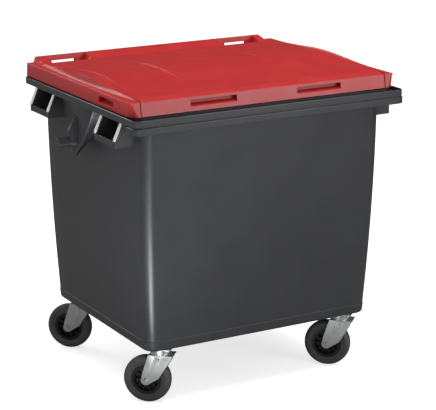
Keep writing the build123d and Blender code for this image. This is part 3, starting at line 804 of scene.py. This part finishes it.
def lid_grid():
    """A level grid with extra lines where creases, ribs and pockets run."""
    bm = bmesh.new()
    side, front, rear = LID_SIDE - INSET, LID_FRONT + FRONT_INSET, BAR_REAR - INSET
    bmesh.ops.create_grid(bm, x_segments=96, y_segments=88, size=1.0)
    bmesh.ops.scale(bm, verts=bm.verts, vec=(side, (rear - front) / 2, 1))
    bmesh.ops.translate(bm, verts=bm.verts, vec=(0, (rear + front) / 2, 0))
    across = [BAR_SIDE, BAR_SIDE + 0.001, CREST_X, CREST_X + 0.004, CREST_X + 0.009, CREST_X + 0.014,
              FOOT_X, CREASE_X - 0.006, CREASE_X - 0.002, CREASE_X + 0.003, CREASE_X + 0.008, CREASE_X + 0.012,
              POCKET_IN, POCKET_IN + 0.001, POCKET_OUT, POCKET_OUT - 0.001]
    across += [RIB_X + k * 0.0037 for k in range(-3, 4)]
    across += [side - k for k in CORNER_LINES]
    for x in across:
        for sign in (-1, 1):
            cut_line(bm, (sign * x, 0, 0), (1, 0, 0))
    along = [LID_REAR - INSET, POCKET_FRONT, POCKET_FRONT + 0.001, BAR_FRONT, BAR_FRONT - POCKET_LEAN, 0.452]
    for y in along + [front + k for k in CORNER_LINES]:
        cut_line(bm, (0, y, 0), (0, 1, 0))
    outside = [f for f in bm.faces if f.calc_center_median().y > LID_REAR - INSET
               and abs(f.calc_center_median().x) > BAR_SIDE]
    bmesh.ops.delete(bm, geom=outside, context="FACES")
    return bm


def shape_top(bm):
    for vert in bm.verts:
        across, y = abs(vert.co.x), vert.co.y
        vert.co.z = lid_height(across, y)
        near = ease(across, 0.44, CREASE_X) * (1 - ease(across, CREASE_X, CREST_X))
        if y < 0.45:
            vert.co.x += math.copysign(crease_shift(y) * near, vert.co.x)


def outward(vert):
    """Level direction out of the lid at a point of the flat grid's border."""
    x, y = vert.co.x, vert.co.y
    out = Vector((0.0, 0.0, 0.0))
    if abs(x) > LID_SIDE - INSET - 0.0003 or (y > LID_REAR - INSET + 0.001 and abs(x) > BAR_SIDE - 0.003):
        out.x = math.copysign(1.0, x)
    if y < LID_FRONT + FRONT_INSET + 0.0003:
        out.y = -1.0
    elif y > BAR_REAR - INSET - 0.001 or (abs(y - LID_REAR + INSET) < 0.001 and abs(x) > BAR_SIDE - 0.001):
        out.y = 1.0
    return out


def grow_border(bm, edges, front_reach, side_reach, low):
    """Extrude the border along its stored outward directions and lower it by a rule."""
    direction = bm.verts.layers.float_vector["outward"]
    grown = bmesh.ops.extrude_edge_only(bm, edges=edges)["geom"]
    for vert in [g for g in grown if isinstance(g, bmesh.types.BMVert)]:
        way = vert[direction]
        vert.co.x += way.x * side_reach
        vert.co.y += way.y * (front_reach if way.y < 0 else side_reach)
        vert.co.z -= low(vert)
    return [g for g in grown if isinstance(g, bmesh.types.BMEdge)]


def round_front_corner(vert, radius, left):
    """Pull a skirt vertex near a front corner onto a rounded corner."""
    x, y = abs(vert.co.x), vert.co.y
    centre_x, centre_y = LID_SIDE - SIDE_DRAFT * left - radius, LID_FRONT + DRAFT * left + radius
    reach = Vector((x - centre_x, y - centre_y, 0))
    if reach.x > 0 and reach.y < 0 and reach.length > radius:
        reach = reach.normalized() * radius
        return Vector((math.copysign(centre_x + reach.x, vert.co.x) - vert.co.x,
                       centre_y + reach.y - y, 0))
    return Vector((0, 0, 0))


def lid_shell():
    bm = lid_grid()
    shape_top(bm)
    border = [e for e in bm.edges if e.is_boundary]
    direction = bm.verts.layers.float_vector.new("outward")
    for vert in {v for e in border for v in e.verts}:
        vert[direction] = outward(vert)
    for step in range(1, 4):
        before, after = math.pi / 6 * (step - 1), math.pi / 6 * step
        reach = ROLL * (math.sin(after) - math.sin(before))
        fall = ROLL * (math.cos(before) - math.cos(after))
        border = grow_border(bm, border, reach, reach, lambda v: fall)
    levels = 7
    for step in range(1, levels + 1):
        def drop(vert):
            bottom = BAR_LOW_Z if vert.co.y > LID_REAR + 0.001 else LID_BOTTOM
            return (vert.co.z - bottom) / (levels - step + 1)
        border = grow_border(bm, border, DRAFT / levels, SIDE_DRAFT / levels, drop)
        for vert in {v for e in border for v in e.verts}:
            vert.co += round_front_corner(vert, CORNER_TOP_R + (CORNER_LOW_R - CORNER_TOP_R) * step / levels,
                                          1 - step / levels)
    bm.verts.layers.float_vector.remove(bm.verts.layers.float_vector["outward"])
    return bm


# %% [markdown]
# ## Hand slots and wall thickness
# The hand slots are cut into the same surface, so that their walls and the skirt are one
# moulding: the border of each opening is drawn inwards and its floor is raised towards
# the back. The rear ones go right through the bar, so two openings are bridged into a
# tunnel. Solidify then gives the whole surface its wall thickness, on the inside.

# %% Slots and thickness
FRONT_SLOT = (0.140, 0.350, 1.250, 1.276)
SIDE_SLOT = (-0.330, -0.200, 1.245, 1.272)
REAR_SLOT = (0.375, 0.488, 1.2625, 1.2830)
REAR_SLOT_LOW = 1.2535
SLOT_DEPTH = 0.024
SLOT_RISE = 0.010


def within(point, low, high, reach=0.0):
    return all(low[i] - reach < point[i] < high[i] + reach for i in range(3))


def cut_window(bm, low, high, axes):
    """Cut a wall along a box on two axes, open it there and return the opening's edges."""
    for axis in axes:
        normal = [float(i == axis) for i in range(3)]
        for place in (low, high):
            near = [f for f in bm.faces if within(f.calc_center_median(), low, high, 0.03)]
            geom = near + list({e for f in near for e in f.edges}) + list({v for f in near for v in f.verts})
            bmesh.ops.bisect_plane(bm, geom=geom, dist=1e-6, plane_co=place, plane_no=normal)
    inside = {f for f in bm.faces if within(f.calc_center_median(), low, high)}
    border = [e for e in {e for f in inside for e in f.edges} if any(f not in inside for f in e.link_faces)]
    bmesh.ops.delete(bm, geom=list(inside), context="FACES")
    return border


def sink_slot(bm, border, inward, floor_z):
    """Draw an opening's border inwards, raise its floor at the back and close it."""
    grown = bmesh.ops.extrude_edge_only(bm, edges=border)["geom"]
    for vert in [g for g in grown if isinstance(g, bmesh.types.BMVert)]:
        vert.co += inward * SLOT_DEPTH
        if vert.co.z < floor_z + 0.001:
            vert.co.z += SLOT_RISE
    back = [g for g in grown if isinstance(g, bmesh.types.BMEdge)]
    bmesh.ops.contextual_create(bm, geom=back)


def cut_slots(bm):
    skin = DRAFT + 0.003
    for sign in (-1, 1):
        x0, x1 = sorted((sign * FRONT_SLOT[0], sign * FRONT_SLOT[1]))
        border = cut_window(bm, (x0, LID_FRONT - 0.001, FRONT_SLOT[2]),
                            (x1, LID_FRONT + skin, FRONT_SLOT[3]), (0, 2))
        sink_slot(bm, border, Vector((0, 1, 0)), FRONT_SLOT[2])
        x0, x1 = sorted((sign * (LID_SIDE - skin), sign * (LID_SIDE + 0.001)))
        border = cut_window(bm, (x0, SIDE_SLOT[0], SIDE_SLOT[2]), (x1, SIDE_SLOT[1], SIDE_SLOT[3]), (1, 2))
        sink_slot(bm, border, Vector((-sign, 0, 0)), SIDE_SLOT[2])
        x0, x1 = sorted((sign * REAR_SLOT[0], sign * REAR_SLOT[1]))
        walls = ((BAR_FRONT - POCKET_LEAN - 0.001, BAR_FRONT + 0.001, REAR_SLOT[2]),
                 (BAR_REAR - skin, BAR_REAR + 0.001, REAR_SLOT_LOW))
        borders = [cut_window(bm, (x0, near, low), (x1, far, REAR_SLOT[3]), (0, 2))
                   for near, far, low in walls]
        bmesh.ops.bridge_loops(bm, edges=borders[0] + borders[1])


def thickened(bm, thickness):
    """The surface with a wall on its inner side, made real with Solidify."""
    mesh = bpy.data.meshes.new("surface")
    bm.to_mesh(mesh)
    bm.free()
    surface = bpy.data.objects.new("surface", mesh)
    bpy.context.collection.objects.link(surface)
    modifier = surface.modifiers.new("wall", "SOLIDIFY")
    modifier.thickness = thickness
    modifier.offset = -1.0
    graph = bpy.context.evaluated_depsgraph_get()
    result = bpy.data.meshes.new_from_object(surface.evaluated_get(graph))
    bpy.data.objects.remove(surface)
    return result


bm = lid_shell()
cut_slots(bm)
bmesh.ops.recalc_face_normals(bm, faces=bm.faces)
print("lid surface faces", len(bm.faces), "top", max(v.co.z for v in bm.verts))
lid_top = dress_mesh("lid_top", thickened(bm, LID_T), "lid_plastic", "lid", nodes=["lid_shell"])

# %% [markdown]
# ## Tyres
# A tyre is the same all the way round, so half of its section is drawn as a few points
# and spun about the axle. The sidewall has the raised ring next to the wheel centre and a
# soft step below the tread.

# %% Tyres


def tyre_section():
    """Radius and offset along the axle, from the bore over the tread to the bore."""
    half = [(0.0642, 0.0150), (0.0642, 0.0222), (0.0655, 0.0236), (0.0700, 0.0238), (0.0715, 0.0226),
            (0.0730, 0.0232), (0.0790, 0.0247), (0.0860, 0.0244), (0.0890, 0.0236), (0.0900, 0.0225)]
    tread = [(0.0955, 0.0195), (0.0985, 0.0145), (0.0998, 0.0075), (0.1000, 0.0)]
    front = half + tread
    return front + [(r, -y) for r, y in reversed(front[:-1])]


def make_tyre(centre, axle):
    bm = bmesh.new()
    verts = [bm.verts.new((r, 0, y)) for r, y in tyre_section()]
    edges = [bm.edges.new(pair) for pair in zip(verts, verts[1:] + verts[:1])]
    bmesh.ops.spin(bm, geom=verts + edges, cent=(0, 0, 0), axis=(0, 0, 1), angle=2 * math.pi,
                   steps=96, use_merge=True, use_duplicate=False)
    turn = Vector((0, 0, 1)).rotation_difference(axle).to_matrix().to_4x4()
    bmesh.ops.transform(bm, matrix=Matrix.Translation(centre) @ turn, verts=bm.verts)
    return bm


CORNERS = ("front_left", "front_right", "rear_left", "rear_right")
for corner in CORNERS:
    spin = frame_joint["spin_" + corner]
    centre, axle = Vector(spin["pos_m"]), Vector(spin["axis"])
    make_piece("tyre_ring_" + corner, make_tyre(centre, axle), "tyre", "wheel_" + corner,
               nodes=["tyre_" + corner])

# %% [markdown]
# ## CAD pieces with softened edges
# The forks, plates, bolts, pins and wheel centres already have their true shape. A copy
# of each one is merged, its flat triangles are joined back into whole faces, and a small
# bevel lets every edge catch the light.

# %% Softened copies
def soften(node, bevel=0.0006, steps=2):
    source = frame["nodes"][node]
    bm = bmesh.new()
    bm.from_mesh(source.data)
    bmesh.ops.remove_doubles(bm, verts=bm.verts, dist=2e-6)
    bmesh.ops.dissolve_limit(bm, angle_limit=math.radians(0.5), verts=bm.verts, edges=bm.edges)
    mesh = bpy.data.meshes.new(node + "_soft")
    bm.to_mesh(mesh)
    bm.free()
    return dress_mesh(node + "_soft", mesh, slot_of_node[node], body_of_node[node], bevel, steps, [node])


DONE = {"tub", "tub_rim", "lid_shell"} | {"tyre_" + corner for corner in CORNERS}
DONE |= {part + side for part in ("handle_boxes_", "pin_bracket_", "hinge_ear_", "hinge_pin_")
         for side in ("left", "right")}
for node in sorted(frame["nodes"]):
    if node not in DONE:
        soften(node)
print("softened", len(frame["nodes"]) - len(DONE))
